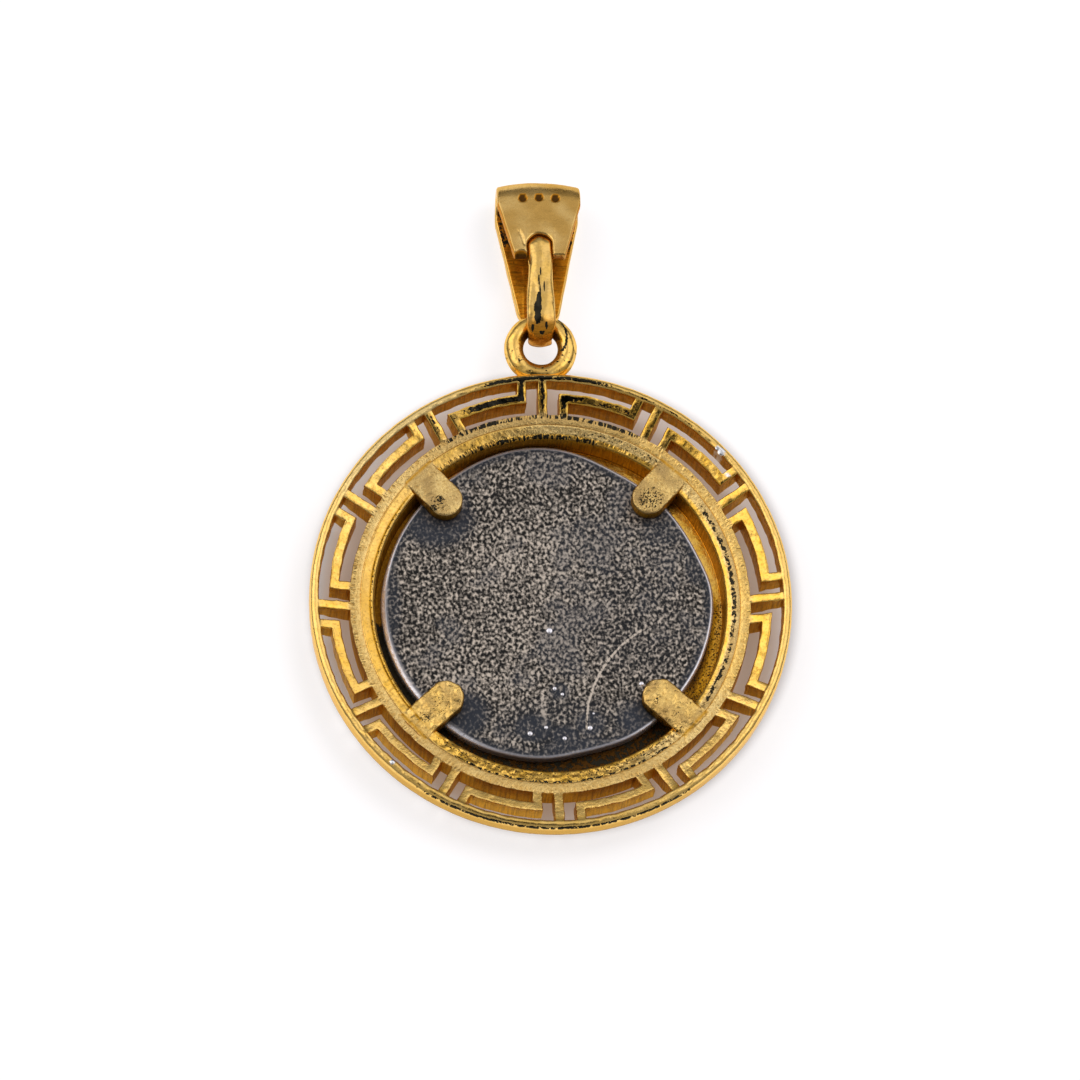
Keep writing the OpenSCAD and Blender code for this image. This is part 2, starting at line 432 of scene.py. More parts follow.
def frame_profile():
    """Closed section as (radius, height) pairs, and where its two band stretches start."""
    rows, _ = band_rows()
    top = [(r, back_at(r) - RIM_FALL) for r in rows]
    low = BACK_Z - RIM_H
    steps = [0.3, 1.0]
    lip_r = np.linspace(SEAT_R, WINDOW_R, 5)
    wall = np.linspace(0, 1, 11)
    bore_top = back_at(BORE_R) - BORE_CHAMFER
    strip_r = np.linspace(STEP_R - STEP_RUN, BORE_R + BORE_CHAMFER, 10)
    bezel = [(BEZEL_R - EDGE_ROUND * s, back_at(BEZEL_R - EDGE_ROUND * s) - RIM_FALL) for s in steps]
    for r in np.linspace(BEZEL_R - 2 * EDGE_ROUND, STEP_R, 6):
        bezel.append((r, back_at(r) - RIM_FALL * rise(r, STEP_R, BEZEL_R)))
    step = [(STEP_R - STEP_RUN / 2, back_at(STEP_R) + STEP_H / 2)]
    strip = [(r, back_at(r) + STEP_H) for r in strip_r]
    bore = [(BORE_R + 0.03, back_at(BORE_R) + STEP_H - 0.045)]
    bore += [(BORE_R + (SEAT_R - BORE_R) * t, bore_top + (LIP_Z - bore_top) * t) for t in wall]
    lip = [(r, LIP_Z) for r in lip_r[1:]]
    foot = [(WINDOW_R, FOOT_CHAMFER), (WINDOW_R + FOOT_CHAMFER, 0)]
    foot += [(r, 0) for r in np.linspace(WINDOW_R + 0.8, FOOT_R - 0.8, 3)]
    foot += [(FOOT_R - FOOT_CHAMFER, 0), (FOOT_R, FOOT_CHAMFER)]
    under = under_at(BEZEL_R)
    foot += [(FOOT_R, FOOT_CHAMFER + (under - FOOT_CHAMFER) * t) for t in (0.33, 0.67, 1)]
    bottom = [(r, under_at(r)) for r in reversed(rows)]
    outer = [(RIM_R - RIM_CHAMFER, low), (RIM_R, low + RIM_CHAMFER)]
    outer += [(RIM_R, z) for z in np.linspace(low + RIM_CHAMFER, BACK_Z - RIM_ROUND, 6)[1:-1]]
    rounded = []
    for a in np.linspace(0, math.pi / 2, 7)[:-1]:
        rounded.append((RIM_R - RIM_ROUND * (1 - math.cos(a)), BACK_Z - RIM_ROUND * (1 - math.sin(a))))
    crown = [(r, rim_top(r)) for r in (RIM_CREST_R, RIM_CREST_R - 0.03, BAND_R + 1.6 * EDGE_ROUND)]
    crown += [(BAND_R + EDGE_ROUND * s, rim_top(BAND_R + EDGE_ROUND * s)) for s in reversed(steps)]
    before = bezel + step + strip + bore + lip + foot
    profile = top + before + bottom + outer + rounded + crown
    return profile, len(top) + len(before)


def cast_shift(points):
    """Waviness of the casting: strongest on the key band, none under the foot."""
    r, _ = polar(points)
    band = rise(r, 11.2, 11.7) * fade(r, 13.5, 13.95)
    strip = rise(r, 10.15, 10.4) * fade(r, 10.85, 11.05)
    raised = rise(points[:, 2], 0.3, 1.3)
    slow = noise_field(points, 1.7, 3.0)
    fast = noise_field(points, 4.1, 11.0)
    shift = (slow * 0.041 + fast * 0.018) * (band * raised)[:, None]
    rough = ring_weight(points, 222, 322, 10.2, 11.0, 8)
    lumps = (fast[:, 1] * 0.09 + slow[:, 0] * 0.05) * rough
    shift[:, 2] += (fast[:, 0] * 0.02 + slow[:, 2] * 0.02 + lumps) * strip * raised
    dent = (np.abs(slow[:, 0]) * 0.022 + np.abs(fast[:, 0]) * 0.004) * rise(r, 13.5, 13.9) * raised
    shift[:, :2] -= points[:, :2] / r[:, None] * dent[:, None]
    return shift


def ring_mesh():
    """Points and faces of the ring with its key band cut through."""
    profile, bottom_start = frame_profile()
    rows, zones = band_rows()
    kinds = column_kinds()
    width = len(kinds)
    cols = width * SECTORS
    band_count = len(rows)
    points = np.empty((len(profile), cols, 3))
    for k, (r, z) in enumerate(profile):
        angles = column_angles(r)
        heights = np.full(width, z)
        crown = k >= bottom_start + band_count and r > STEP_R and z > back_at(BEZEL_R) - 0.3
        if crown or k < band_count + 2:
            heights = z - np.array([float(edge_drop(hole_distance(r, a), EDGE_ROUND)) for a in angles])
        for s in range(SECTORS):
            a = FIRST_SPOKE + s * SECTOR + angles
            points[k, s * width:(s + 1) * width] = np.column_stack([r * np.cos(a), r * np.sin(a), heights])
    row_zones = dict(enumerate(zones))
    row_zones.update((bottom_start + i, zone) for i, zone in enumerate(reversed(zones)))
    faces = []
    for i, quad in enumerate(grid_quads(len(profile), cols, True, True)):
        row, column = divmod(i, cols)
        if row_zones.get(row) not in OPEN_CELLS[kinds[column % width]]:
            faces.append(quad)
    partner = {}
    for i in range(band_count):
        below = bottom_start + band_count - 1 - i
        partner.update((i * cols + j, below * cols + j) for j in range(cols))
    return wall_up(points.reshape(-1, 3), faces, partner, WALL_LEVELS)


def tab_mesh(angle_deg, end_r, relief, top_z):
    """Closed slab with a round end, rounded upper edges and a slight crown."""
    insets = [(0.06, -TAB_H), (0.0, -TAB_H + 0.08)]
    insets += [(0.0, -TAB_H + 0.08 + (TAB_H - 0.08 - TAB_EDGE) * t) for t in (0.35, 0.7, 1.0)]
    for a in np.linspace(0, math.pi / 2, 5)[1:]:
        insets.append((TAB_EDGE * (1 - math.cos(a)), -TAB_EDGE * (1 - math.sin(a))))
    half = TAB_W / 2
    for d in np.linspace(TAB_EDGE, half - 0.03, 17)[1:]:
        insets.append((d, TAB_CROWN * (1 - (1 - (d - TAB_EDGE) / (half - TAB_EDGE)) ** 2)))
    points = []
    for inset, z in insets:
        w = half - inset
        ring = [(x, w) for x in np.linspace(TAB_ROOT_R, end_r, 26)]
        ring += [(end_r + w * math.cos(a), w * math.sin(a))
                 for a in np.linspace(math.pi / 2, 3 * math.pi / 2, 33)[1:-1]]
        ring += [(x, -w) for x in np.linspace(end_r, TAB_ROOT_R, 26)]
        points += [(x, y, top_z + z) for x, y in ring]
    count = len(ring)
    faces = grid_quads(len(insets), count, closed_cols=True)
    faces.append(tuple(range(count)))
    last = (len(insets) - 1) * count
    faces.append(tuple(last + i for i in reversed(range(count))))
    points = np.array(points)
    crumple = rise(points[:, 2] - top_z, -0.5, -0.1)[:, None] * relief
    points += noise_field(points, 1.6, angle_deg) * 0.03
    folds = noise_field(points, 2.6, angle_deg) * 0.036 + noise_field(points, 6.0, angle_deg) * 0.016
    points += folds * crumple
    x, y = turned(points[:, 0], points[:, 1], math.radians(angle_deg))
    return np.column_stack([x, y, points[:, 2]]), faces


def low_dome(x, y, radius, foot_z, height):
    """Small round grain that stands on a face."""
    loops = [(1.0, -0.05), (1.0, 0.0), (0.8, height * 0.6), (0.45, height * 0.92)]
    return round_stack(x, y, [(radius * grow, foot_z + z) for grow, z in loops], 20)


def eyelet_mesh():
    """Round wire ring, a little uneven as cast."""
    around = 150
    section = 44
    points = []
    for a in circle(around):
        for b in circle(section):
            r = EYE_R + EYE_WIRE_R * math.cos(b)
            points.append((r * math.cos(a), EYE_Y + r * math.sin(a), EYE_Z + EYE_WIRE_R * math.sin(b)))
    points = np.array(points)
    wave = noise_field(points, 1.2, 5.0) * 0.03 + noise_field(points, 3.0, 9.0) * 0.008
    return points + wave, grid_quads(around, section, closed_rows=True, closed_cols=True)


# Places where the gilding is worn through to the silver as (x, y, radius), on the rim and the key band
GLINTS = [(10.28, 8.9, 0.23), (10.05, 9.14, 0.14), (10.58, 7.56, 0.16), (-9.53, -9.81, 0.15)]
GLINT_RISE = 0.05
# Height of the tabs' backs at their roots
TAB_TOP = back_at(STEP_R) + 0.04


def make_frame():
    """The ring, with the eyelet, the tabs and the glints joined to it."""
    ring_points, ring_faces = ring_mesh()
    piece = make_mesh("frame_casting", ring_points + cast_shift(ring_points), ring_faces)
    parts = [make_mesh("eyelet_part", *eyelet_mesh())]
    for angle, end_r, relief in TABS:
        parts.append(make_mesh("tab_part", *tab_mesh(angle, end_r, relief, TAB_TOP)))
    for x, y, radius in GLINTS:
        r = math.hypot(x, y)
        foot = min(rim_top(r), back_at(r) - RIM_FALL) - 0.02
        parts.append(make_mesh("glint_part", *low_dome(x, y, radius, foot, GLINT_RISE)))
    unite(piece, parts)
    return piece


# Disc

# Outline of the worn disc as (angle in degrees, radius from the ring's middle)
DISC_OUTLINE = [
    (-70, 9.0), (-60, 9.12), (-35, 9.16), (-20, 9.32), (-10, 9.43), (0, 9.56), (8, 9.6), (17, 9.38),
    (25, 9.31), (35, 9.33), (55, 9.36), (65, 9.42), (75, 9.67), (80, 9.85), (90, 10.02), (100, 10.06),
    (110, 9.98), (125, 9.84), (145, 9.78), (160, 9.74), (175, 9.81), (190, 9.75), (205, 9.63),
    (215, 9.52), (240, 9.42), (255, 9.3), (265, 9.22), (280, 8.94), (290, 9.0),
]
# The worn bevel: from and to in degrees, the radii that hold it, and its softness
BEVEL = (165, 240, *INSIDE, 12)
BEVEL_DEPTH = 0.09
SUN_R = 3.0
RAYS = 12
RAY_FOOT = 3.45
RAY_WIDE = 4.3
RAY_TIP = 7.9
RAY_HALF = 0.62
RELIEF = 0.22


def disc_radius(angle):
    """Radius of the disc's uneven outline at an angle."""
    rows = np.array(DISC_OUTLINE, float)
    deg = (np.degrees(angle) + 70) % 360 - 70
    near = [np.interp(deg + d, rows[:, 0], rows[:, 1]) for d in (-4, -2, 0, 2, 4)]
    return np.mean(near, axis=0)


def disc_body():
    """The disc without its grains and sun, with a worn bevel on the lower left edge."""
    around = 420
    angles = np.linspace(0, 2 * math.pi, around, endpoint=False)
    outline = disc_radius(angles)
    top = DISC_Z + DISC_H
    loops = [(0.1, DISC_Z), (0.0, DISC_Z + 0.1), (0.0, DISC_Z + 0.35), (0.0, top - DISC_EDGE)]
    for a in np.linspace(0, math.pi / 2, 5)[1:]:
        loops.append((DISC_EDGE * 1.3 * (1 - math.cos(a)), top - DISC_EDGE * (1 - math.sin(a))))
    loops += [(d, top) for d in [0.21, 0.25] + list(np.arange(0.3, 8.8, 0.15))]
    points = []
    for inset, z in loops:
        r = outline - inset
        points += list(np.column_stack([r * np.cos(angles), r * np.sin(angles), np.full(around, z)]))
    points = np.array(points)
    wave = noise_field(points, 0.9, 21.0)
    points[:, 2] += wave[:, 2] * 0.012 * rise(points[:, 2], DISC_Z + 0.2, top)
    r, angle = polar(points)
    bevel = ring_weight(points, *BEVEL) * fade(disc_radius(angle) - r, 0.1, 0.36)
    points[:, 2] -= BEVEL_DEPTH * bevel * (points[:, 2] > DISC_Z + 0.5)
    return points, stack_faces(len(loops), around)


def sun_middle():
    """Low round boss with a rounded edge, on the disc's front."""
    loops = [(SUN_R, 0.05), (SUN_R, 0.0), (SUN_R - 0.05, -0.12), (SUN_R - 0.2, -0.2), (SUN_R - 0.6, -RELIEF)]
    return round_stack(DISC_X, DISC_Y, [(r, DISC_Z + z) for r, z in loops], 96)


def sun_ray(turn):
    """One kite-shaped ray with a low ridge."""
    plan = [(RAY_FOOT, 0), (RAY_WIDE, RAY_HALF), (RAY_TIP, 0), (RAY_WIDE, -RAY_HALF)]
    middle = RAY_WIDE + 0.2
    loops = [(1.0, 0.05), (1.0, -0.1), (0.86, -RELIEF * 0.8), (0.25, -RELIEF)]
    points = []
    for grow, z in loops:
        for x, y in plan:
            px, py = turned(middle + (x - middle) * grow, y * grow, turn)
            points.append((DISC_X + px, DISC_Y + py, DISC_Z + z))
    return np.array(points), stack_faces(len(loops), len(plan))


# Small raised grains on the disc's back as (x, y, radius)
GRAINS = [
    (-0.06, -1.36, 0.19), (5.16, -4.7, 0.15), (0.11, -4.91, 0.13), (0.54, -5.27, 0.11), (-0.48, -7.28, 0.12),
    (-1.42, -7.63, 0.16), (0.57, -7.96, 0.14), (2.07, -7.35, 0.16), (2.31, -6.48, 0.08),
]
GRAIN_RISE = 0.05


def make_disc():
    """The disc, with its grains and the sun joined to it."""
    piece = make_mesh("disc_plate", *disc_body(), sharp_deg=40)
    parts = [make_mesh("sun_part", *sun_middle(), sharp_deg=40)]
    for row in GRAINS:
        parts.append(make_mesh("grain_part", *low_dome(*row, DISC_Z + DISC_H, GRAIN_RISE)))
    for turn in circle(RAYS):
        parts.append(make_mesh("ray_part", *sun_ray(turn), sharp_deg=25))
    unite(piece, parts, sharp_deg=30)
    return piece


# Bail

# Half width of the hook's wire along its run, as (distance from the hook's middle, half width)
RUN_HALF = [(0.0, 0.83), (0.5, 0.83), (1.2, 0.78), (2.2, 0.73), (3.2, 0.7), (4.22, 0.7)]
# Punched dots on the back leaf as (x, y) from the hook's middle, and their radius
DOTS = [(-0.96, 7.27), (0.0, 7.32), (0.96, 7.27)]
DOT_R = 0.28
DOT_DEPTH = 0.08
# Nick in the back leaf, from end to end, and the worn corner as (x, y, radius), and how flat it is along Y
NICK = ((-1.2, 5.1), (-0.9, 4.25))
NICK_DEPTH = 0.07
CORNER = (-1.1, 3.5, 0.5)
CORNER_FLAT = 1.3
CORNER_DEPTH = 0.3
# Half width of the hook's wire where its bend starts
BEND_HALF = 0.67
# Painted dark reflections on the hook as (x, y, half width, half length)
HOOK_DARK_REFLECTIONS = [
    (0.0, 2.5, 0.06, 0.4), (-0.1, 1.9, 0.07, 0.5), (-0.04, 1.3, 0.07, 0.45), (0.2, 1.5, 0.06, 0.5),
    (-0.12, 0.7, 0.2, 0.6), (-0.2, 0.1, 0.32, 0.6), (-0.22, -0.5, 0.3, 0.45), (0.3, -0.9, 0.12, 0.25),
    (-0.5, -1.0, 0.12, 0.25), (0.05, -1.25, 0.22, 0.18),
]


BailRow = namedtuple("BailRow", "y z ny nz half notch h wire leaf")


def leaf_half(y, start_y, start_half):
    """Half width of a leaf, which widens evenly up to FULL_Y."""
    return start_half + (STRAP_HALF - start_half) * np.clip((y - start_y) / (FULL_Y - start_y), 0.0, 1.0)


def bail_rows():
    """Rows along the bail: where the middle line is, its normal, widths and notch.

    The line starts at the back leaf's free edge, goes over the fold, down the front leaf and round the
    hook's bend, and ends at the hook's round end.
    """
    rows = []

    def add(*row):
        rows.append(BailRow(*row))

    notch_top = DOME_Y + NOTCH_R
    ys = [EDGE_Y + STRAP_ROUND * s for s in (0, 0.1, 0.3, 0.6, 1.0)]
    ys += list(np.linspace(EDGE_Y + 2 * STRAP_ROUND, DOME_Y, 6))
    ys += [DOME_Y + NOTCH_R * math.sin(a) for a in np.linspace(0, math.pi / 2, 13)[1:]]
    ys += [notch_top + STRAP_ROUND * s for s in (0.15, 0.35, 0.65, 1.0)]
    ys += list(np.linspace(notch_top + 2 * STRAP_ROUND, BAIL_LEN, 36))
    for y in ys:
        if y >= notch_top - 1e-9:
            notch = 0.0
        elif y > DOME_Y:
            notch = math.sqrt(max(NOTCH_R ** 2 - (y - DOME_Y) ** 2, 0.0))
        else:
            notch = NOTCH_R
        add(y, MID_R, 0, 1, leaf_half(y, EDGE_Y, EDGE_HALF), notch, STRAP_H, 0.0, "back")
    for a in np.linspace(0, math.pi, 29)[1:-1]:
        add(BAIL_LEN + MID_R * math.sin(a), MID_R * math.cos(a), math.sin(a), math.cos(a),
            STRAP_HALF, 0.0, STRAP_H, 0.0, "fold")
    for y in np.linspace(BAIL_LEN, TIP_Y, 40):
        narrow = float(fade(y, TIP_Y, 1.0))
        half = leaf_half(y, 0.0, TIP_HALF)
        half += (BEND_HALF - half) * narrow
        add(y, -MID_R, 0, -1, half, 0.0, STRAP_H + (WIRE_H - STRAP_H) * narrow, narrow, "front")
    for a in np.linspace(0, math.pi, 30)[1:-1]:
        done = (1 - math.cos(a)) / 2
        half = BEND_HALF + (RUN_HALF[0][1] - BEND_HALF) * float(rise(done, 0.5, 1.0))
        add(-MID_R * math.sin(a), -MID_R * math.cos(a), -math.sin(a), -math.cos(a),
            half, 0.0, WIRE_H, 1.0, "bend")
    runs = np.array(RUN_HALF)
    for y in np.linspace(0, DOME_Y, 36):
        add(y, MID_R, 0, 1, float(np.interp(y, runs[:, 0], runs[:, 1])), 0.0, WIRE_H, 1.0, "run")
    for a in np.linspace(0, math.radians(86), 12)[1:]:
        add(DOME_Y + DOME_R * math.sin(a), MID_R, 0, 1, DOME_R * math.cos(a), 0.0, WIRE_H, 1.0, "run")
    return rows


def outline_distance(row, x):
    """Distance from a point of a row to the nearest edge of the bail's outline."""
    d = row.half - abs(x)
    if row.leaf == "back":
        d = min(d, row.y - EDGE_Y)
        if row.y > DOME_Y:
            d = min(d, math.hypot(x, row.y - DOME_Y) - NOTCH_R)
        else:
            d = min(d, abs(x) - NOTCH_R)
    return max(d, 0.0)


def wire_lift(row, x):
    """Half thickness of the hook's rounded wire at a point of a row."""
    if row.leaf == "run" and row.y > DOME_Y:
        across = math.hypot(x, row.y - DOME_Y) / DOME_R
    else:
        across = abs(x) / row.half
    return row.h / 2 * max(1 - min(across, 1.0) ** WIRE_POWER, 0.0) ** (1 / WIRE_POWER)


def bail_columns(row):
    """Places across one half of a row, from the notch or the middle line to the side edge."""
    width = row.half - row.notch
    step = min(STRAP_ROUND, width * 0.4)
    near = [row.notch + step * s for s in (0, 0.1, 0.35, 0.7)]
    far = [row.half - step * s for s in (0.7, 0.35, 0.1, 0)]
    inner = np.linspace(row.notch + step, row.half - step, 28)
    flat = np.array(near + list(inner) + far)
    rounded = row.half * np.sin(np.linspace(0, math.pi / 2, len(flat)))
    return list(flat + (rounded - flat) * row.wire)


def bail_place():
    """Where the bail's own frame lies, from the hook's middle."""
    return (
        Matrix.Translation((0, EYE_Y, 0))
        @ Matrix.Rotation(BAIL_YAW, 4, "Z")
        @ Matrix.Translation((0, HOOK_Y - EYE_Y, EYE_Z))
        @ Matrix.Rotation(BAIL_TILT, 4, "X")
    )


def nick_distance(x, y):
    """Distance to the nick in the back leaf."""
    (ax, ay), (bx, by) = NICK
    t = ((x - ax) * (bx - ax) + (y - ay) * (by - ay)) / ((bx - ax) ** 2 + (by - ay) ** 2)
    t = min(max(t, 0.0), 1.0)
    return math.hypot(x - ax - t * (bx - ax), y - ay - t * (by - ay))


def leaf_dent(x, y):
    """Depth of the punched dots, the nick and the worn corner in the back leaf."""
    dent = 0.0
    for dx, dy in DOTS:
        dent += DOT_DEPTH * float(fade(math.hypot(x - dx, y - dy), DOT_R * 0.6, DOT_R * 1.02))
    dent += NICK_DEPTH * float(fade(nick_distance(x, y), 0.02, 0.11))
    corner_x, corner_y, corner_r = CORNER
    away = math.hypot(x - corner_x, (y - corner_y) * CORNER_FLAT)
    dent += CORNER_DEPTH * float(fade(away, corner_r * 0.45, corner_r))
    return dent


def bail_mesh():
    """Points and faces of the bent strap, placed in the eyelet."""
    rows = bail_rows()
    count = len(bail_columns(rows[0]))
    width = 2 * count
    outer = []
    inner = []
    for row in rows:
        half_row = bail_columns(row)
        xs = [-x for x in reversed(half_row)] + half_row
        crown = FOLD_CROWN * float(rise(row.y, 6.2, 8.6))
        for x in xs:
            flat = row.h / 2 - float(edge_drop(outline_distance(row, x), STRAP_ROUND))
            high = max(flat + (wire_lift(row, x) - flat) * row.wire, THINNEST)
            y = row.y - crown * (x / STRAP_HALF) ** 2
            dent = leaf_dent(x, row.y) if row.leaf == "back" else 0.0
            outer.append((x, y + row.ny * (high - dent), row.z + row.nz * (high - dent)))
            inner.append((x, y - row.ny * high, row.z - row.nz * high))
    total = len(outer)
    points = np.array(outer + inner)
    faces = []

    def vertex(i, j):
        if j == count and rows[i].notch == 0.0:
            j = count - 1
        return i * width + j

    for i in range(len(rows) - 1):
        for j in range(width - 1):
            if j == count - 1:
                continue
            faces.append((vertex(i, j), vertex(i, j + 1), vertex(i + 1, j + 1), vertex(i + 1, j)))
    faces += [tuple(total + v for v in reversed(face)) for face in faces]
    partner = {i: total + i for i in range(total)}
    points, faces = wall_up(points, faces, partner, (0.5,))
    slow = noise_field(points, 1.5, 31.0)
    wire = 1 - rise(points[:, 1], 4.6, 5.2) * 0.6
    points += slow * (0.03, 0.03, 0.02) * wire[:, None]
    drawn = noise_field(points * (1.0, 0.3, 1.0), 2.4, 17.0)
    points += drawn * 0.06 * fade(np.abs(points[:, 0]), 0.8, 0.95)[:, None] * wire[:, None]
    place = bail_place()
    spin = np.array(place.to_3x3())
    shift = np.array(place.translation)
    return points @ spin.T + shift, faces


def make_bail():
    return make_mesh("bail_strap", *bail_mesh(), sharp_deg=60)


# Materials

# Amber, brown and umber are mostly painted shade in walls, bores and hollows, umber also brown stains; the
# dull tone is also painted shade on some sides; the black is casting remains and painted dark reflections.
AMBER = (0.68, 0.33, 0.014, 1)
BROWN = (0.28, 0.12, 0.008, 1)
UMBER = (0.1, 0.04, 0.006, 1)
DULL_AND_PAINTED_SHADE = (0.58, 0.34, 0.09, 1)
SOOT_AND_PAINTED_DARK = (0.03, 0.026, 0.018, 1)
BARE = (0.85, 0.85, 0.9, 1)
SATIN = (0.9, 0.68, 0.32, 1)
HOLLOW = (0.55, 0.28, 0.05, 1)
ASH = (0.36, 0.27, 0.15, 1)
EDGE_TINT = (1.0, 0.82, 0.5, 1)
OXIDE = (0.013, 0.012, 0.012, 1)
WORN = (0.7, 0.605, 0.525, 1)
WHOLE_COAT = (0.05, 0.058, 0.08, 1)
FILED = (0.95, 0.92, 1.0, 1)

# The two gildings: colours, stretch of the drawn lines, and depths of the grain and the lines in millimetres
FRAME_GILT = dict(
    pale=(0.97, 0.62, 0.17, 1), rich=(0.95, 0.53, 0.06, 1), amber=AMBER,
    streak=(1.0, 1.0, 0.03), grain_depth=0.045, streak_depth=0.04,
)
BAIL_GILT = dict(
    pale=(0.92, 0.62, 0.22, 1), rich=(0.88, 0.54, 0.1, 1), amber=(0.78, 0.3, 0.014, 1),
    streak=(0.15, 1.0, 1.0), grain_depth=0.015, streak_depth=0.01,
)
# What the gilt materials read from each vertex
LOOKS = ("remains_and_painted_dark", "teeth", "specks", "ticked", "stain_and_painted_shade", "matte", "rich", "dull_and_painted_shade", "ashen", "even", "silver")


def new_material(name):
    material = bpy.data.materials.new(name)
    material.use_nodes = True
    tree = material.node_tree
    tree.nodes.clear()
    shader = node(tree, "ShaderNodeBsdfPrincipled")
    node(tree, "ShaderNodeOutputMaterial", {"Surface": shader.outputs["BSDF"]})
    return material, tree, shader


def fill(tree, sockets, values):
    """Set or link inputs of a node."""
    for key, value in values.items():
        if isinstance(value, bpy.types.NodeSocket):
            tree.links.new(value, sockets[key])
        else:
            sockets[key].default_value = value


def node(tree, kind, inputs=None, **settings):
    """Add a node, set its properties, and set or link its inputs."""
    made = tree.nodes.new(kind)
    for key, value in settings.items():
        setattr(made, key, value)
    fill(tree, made.inputs, inputs or {})
    return made


def place_mm(tree, stretch=(1.0, 1.0, 1.0)):
    """Object coordinates in millimetres, stretched along the axes."""
    coordinates = node(tree, "ShaderNodeTexCoord")
    scale = tuple(s / MM for s in stretch)
    inputs = {"Vector": coordinates.outputs["Object"], "Scale": scale}
    return node(tree, "ShaderNodeMapping", inputs).outputs[0]


def noise_at(tree, vector, scale, detail=2.0, rough=0.5, distortion=0.0):
    made = node(tree, "ShaderNodeTexNoise", {
        "Vector": vector, "Scale": scale, "Detail": detail, "Roughness": rough, "Distortion": distortion,
    })
    return made.outputs["Fac"]


def math_node(tree, operation, a, b=0.0):
    return node(tree, "ShaderNodeMath", {0: a, 1: b}, operation=operation).outputs[0]


def plus(tree, a, b):
    return math_node(tree, "ADD", a, b)


def times(tree, a, b):
    return math_node(tree, "MULTIPLY", a, b)


def vector_node(tree, operation, a, b=None):
    """Vector maths, with the factor of SCALE as b."""
    inputs = {0: a}
    if b is not None:
        inputs["Scale" if operation == "SCALE" else 1] = b
    made = node(tree, "ShaderNodeVectorMath", inputs, operation=operation)
    return made.outputs["Value" if operation in ("LENGTH", "DISTANCE", "DOT_PRODUCT") else "Vector"]


def ramp(tree, value, low, high, out_low=0.0, out_high=1.0, curve="SMOOTHSTEP"):
    """Step from one range to another, smooth unless curve says LINEAR."""
    made = node(tree, "ShaderNodeMapRange", {
        "Value": value, "From Min": low, "From Max": high, "To Min": out_low, "To Max": out_high,
    }, interpolation_type=curve)
    return made.outputs["Result"]


def mix_colour(tree, factor, a, b):
    made = node(tree, "ShaderNodeMix", data_type="RGBA")
    sockets = {socket.identifier: socket for socket in made.inputs}
    fill(tree, sockets, {"Factor_Float": factor, "A_Color": a, "B_Color": b})
    return next(s for s in made.outputs if s.identifier == "Result_Color")


def overlay(tree, tone, layers):
    """A colour with others laid over it, each as (amount, colour)."""
    for amount, colour in layers:
        tone = mix_colour(tree, amount, tone, colour)
    return tone


def bump(tree, height, strength, depth, below=None, invert=False):
    """Bump of a depth in millimetres, on top of the one below it."""
    inputs = {"Strength": strength, "Distance": depth * MM, "Height": height}
    if below is not None:
        inputs["Normal"] = below
    return node(tree, "ShaderNodeBump", inputs, invert=invert).outputs[0]


def value_of(tree, name):
    return node(tree, "ShaderNodeAttribute", attribute_name=name).outputs["Fac"]


def paint(piece, material):
    piece.data.materials.clear()
    piece.data.materials.append(material)


def ring_plane(tree, vector):
    """Y from the ring's middle, and the place from there without its height."""
    split = node(tree, "ShaderNodeSeparateXYZ", {0: vector})
    north = math_node(tree, "SUBTRACT", split.outputs["Y"], RING_Y)
    return north, node(tree, "ShaderNodeCombineXYZ", {0: split.outputs["X"], 1: north}).outputs[0]


def ring_place(tree, vector, across):
    """Coordinates for marks that run across the ring: one length along it, stretched across it."""
    _, plane = ring_plane(tree, vector)
    along = vector_node(tree, "SCALE", vector_node(tree, "NORMALIZE", plane), BEZEL_R)
    r = vector_node(tree, "LENGTH", plane)
    height = node(tree, "ShaderNodeCombineXYZ", {2: times(tree, r, across)}).outputs[0]
    return vector_node(tree, "ADD", along, height)


